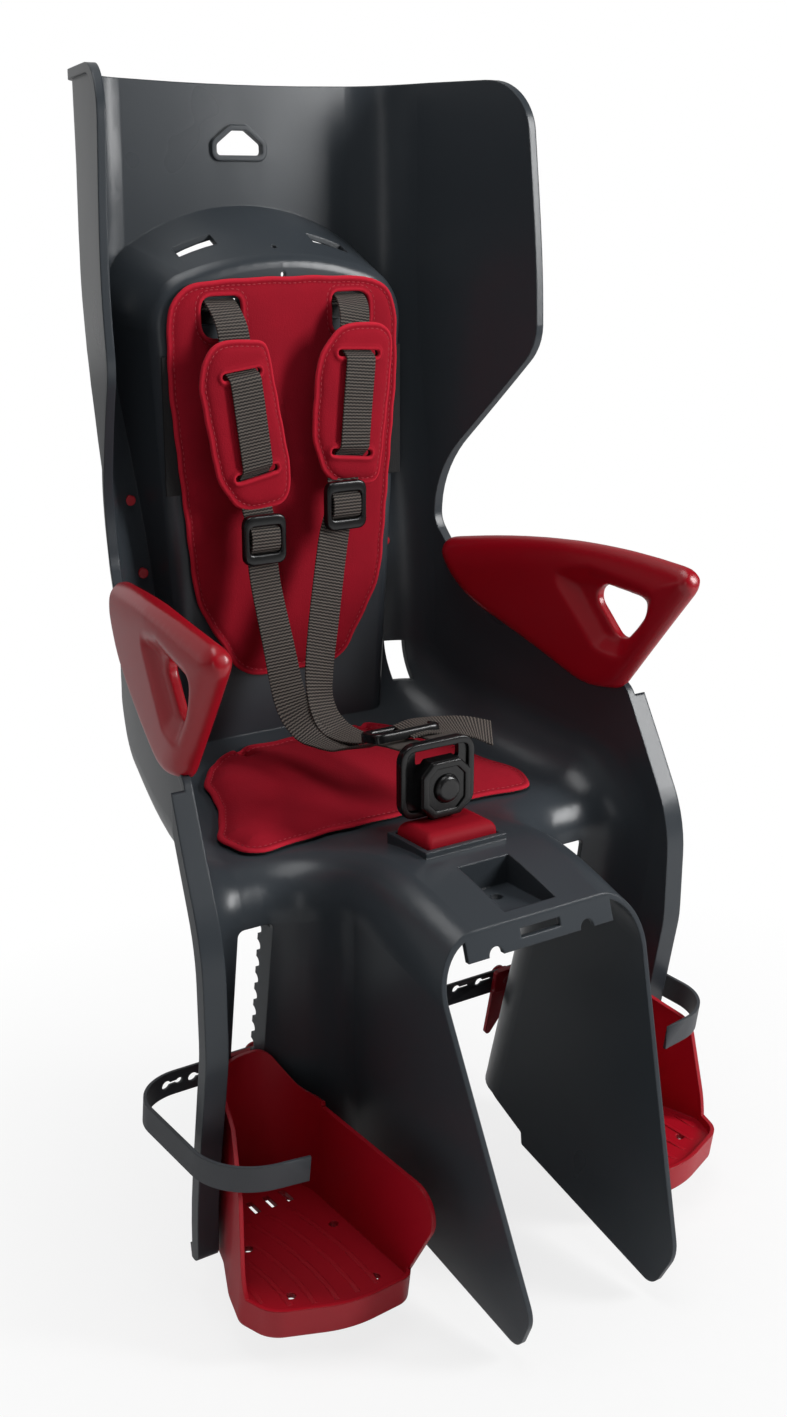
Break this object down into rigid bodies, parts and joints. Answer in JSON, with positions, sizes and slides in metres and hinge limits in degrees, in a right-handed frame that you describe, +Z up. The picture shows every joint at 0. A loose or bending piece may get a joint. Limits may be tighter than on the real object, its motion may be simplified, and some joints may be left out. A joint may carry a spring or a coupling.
{
  "type": "child bicycle seat",
  "caption": "Rear child seat for a bicycle: one-piece high-back shell with head wings, leg guards, padded harness and adjustable footrests.",
  "frame": {"origin": "centre of the mounting hole at the pocket floor of the saddle", "axes": "+Z up along the hole, -Y forwards, +X to the rider's left"},
  "size_m": [0.4446, 0.4741, 0.8193],
  "materials": {
    "shell": "fine grain, half gloss",
    "red_fabric": "woven polyester over foam",
    "red_foam": "soft moulded foam",
    "red_gloss": "gloss",
    "red_plastic": "half gloss",
    "hook_strip": "hook tape",
    "black_plastic": "gloss",
    "button": "half gloss",
    "spring_steel": "plain",
    "webbing": "ribbed polyester",
    "strap_rubber": "matt"
  },
  "bodies": {
    "seat": {"seat_shell": "shell", "back_pad": "red_fabric", "pad_strips": "hook_strip", "seat_cushion": "red_fabric", "crotch_block": "red_foam", "buckle_stalk": "black_plastic", "stalk_clip": "black_plastic", "buckle_body": "black_plastic", "button_spring": "spring_steel", "buckle_tongue": "black_plastic", "shoulder_webbing_left": "webbing", "shoulder_webbing_right": "webbing", "anchor_bar_left": "black_plastic", "anchor_bar_right": "black_plastic", "strap_slider_left": "black_plastic", "strap_slider_right": "black_plastic", "lap_slider": "black_plastic", "strap_tail": "webbing", "shoulder_pad_left": "red_fabric", "shoulder_pad_right": "red_fabric", "back_pins": "red_plastic", "armrest_left": "red_gloss", "armrest_right": "red_gloss"},
    "buckle_button": {"buckle_button": "button"},
    "footrest_left": {"footrest_left": "red_plastic", "footrest_carriage_left": "red_plastic", "latch_pin_left": "red_plastic", "foot_strap_left": "strap_rubber"},
    "latch_left": {"latch_lever_left": "red_plastic"},
    "footrest_right": {"footrest_right": "red_plastic", "footrest_carriage_right": "red_plastic", "latch_pin_right": "red_plastic", "foot_strap_right": "strap_rubber"},
    "latch_right": {"latch_lever_right": "red_plastic"}
  },
  "joints": [
    {"name": "button_press", "type": "slide", "parent": "seat", "child": "buckle_button", "axis": [0, 1, 0], "range_m": [0, 0.003], "stiffness_N_per_m": 400, "deforming": ["button_spring"]},
    {"name": "footrest_left_height", "type": "slide", "parent": "seat", "child": "footrest_left", "axis": [0, -0.158, 0.9874], "range_m": [-0.028, 0.084]},
    {"name": "latch_left_release", "type": "hinge", "parent": "footrest_left", "child": "latch_left", "pos_m": [0.116, 0.11498, -0.153], "axis": [0, 0.9874, 0.158], "range_deg": [0, 15], "stiffness_Nm_per_rad": 0.2},
    {"name": "footrest_right_height", "type": "slide", "parent": "seat", "child": "footrest_right", "axis": [0, -0.158, 0.9874], "range_m": [-0.028, 0.084]},
    {"name": "latch_right_release", "type": "hinge", "parent": "footrest_right", "child": "latch_right", "pos_m": [-0.116, 0.11498, -0.153], "axis": [0, -0.9874, -0.158], "range_deg": [0, 15], "stiffness_Nm_per_rad": 0.2}
  ]
}
